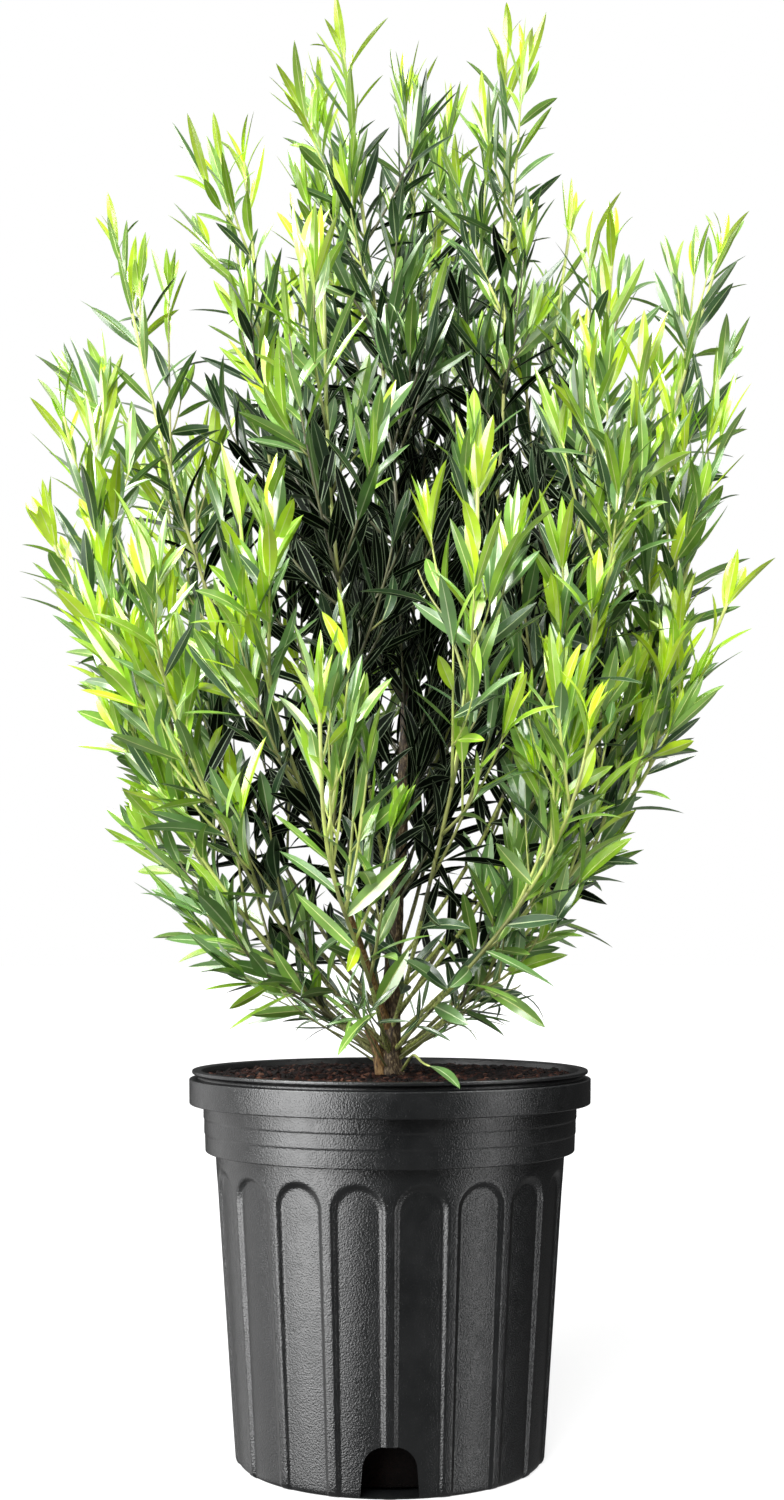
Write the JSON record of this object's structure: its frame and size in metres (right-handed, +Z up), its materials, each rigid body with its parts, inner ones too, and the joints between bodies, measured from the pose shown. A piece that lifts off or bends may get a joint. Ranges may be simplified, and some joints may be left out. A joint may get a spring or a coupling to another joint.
{
  "type": "potted buddhist pine",
  "caption": "Upright evergreen shrub with long narrow leaves on many splayed shoots, in a black ribbed nursery pot with drain cut-outs round its foot.",
  "frame": {"origin": "centre of the pot's flat underside", "axes": "+Z up along the pot's axis and the trunk; +X to the right and -Y to the front of the pictured side"},
  "size_m": [0.503, 0.431, 0.976],
  "materials": {
    "pot": "satin black moulded plastic",
    "soil": "dark moist bark granules",
    "bark": "brown to yellow-green bark",
    "foliage": "bright to dark green leaves"
  },
  "bodies": {
    "root": {"pot": "pot", "soil": "soil", "trunk": "bark", "bough_crown_right": "bark", "bough_crown_back": "bark", "bough_upper_left": "bark", "bough_upper_mid_left": "bark", "bough_front_high_left": "bark", "bough_upper_right": "bark", "bough_front_high_right": "bark", "bough_right_high": "bark", "bough_back_high_left": "bark", "bough_back_high_right": "bark", "bough_left": "bark", "bough_left_low": "bark", "bough_front_left": "bark", "bough_front_left_low": "bark", "bough_front_low": "bark", "bough_front_right": "bark", "bough_right_front": "bark", "bough_right": "bark", "bough_right_low": "bark", "bough_right_lowest": "bark", "bough_front_right_low": "bark", "bough_back_left": "bark", "bough_back": "bark", "bough_back_right": "bark", "bough_back_right_low": "bark", "bough_back_left_low": "bark", "bough_left_lowest": "bark", "foliage_crown_left": "foliage", "foliage_crown_right": "foliage", "foliage_crown_back": "foliage", "foliage_upper_left": "foliage", "foliage_upper_mid_left": "foliage", "foliage_front_high_left": "foliage", "foliage_upper_right": "foliage", "foliage_front_high_right": "foliage", "foliage_right_high": "foliage", "foliage_back_high_left": "foliage", "foliage_back_high_right": "foliage", "foliage_left": "foliage", "foliage_left_low": "foliage", "foliage_front_left": "foliage", "foliage_front_left_low": "foliage", "foliage_front_low": "foliage", "foliage_front_right": "foliage", "foliage_right_front": "foliage", "foliage_right": "foliage", "foliage_right_low": "foliage", "foliage_right_lowest": "foliage", "foliage_front_right_low": "foliage", "foliage_back_left": "foliage", "foliage_back": "foliage", "foliage_back_right": "foliage", "foliage_back_right_low": "foliage", "foliage_back_left_low": "foliage", "foliage_left_lowest": "foliage"}
  },
  "joints": []
}
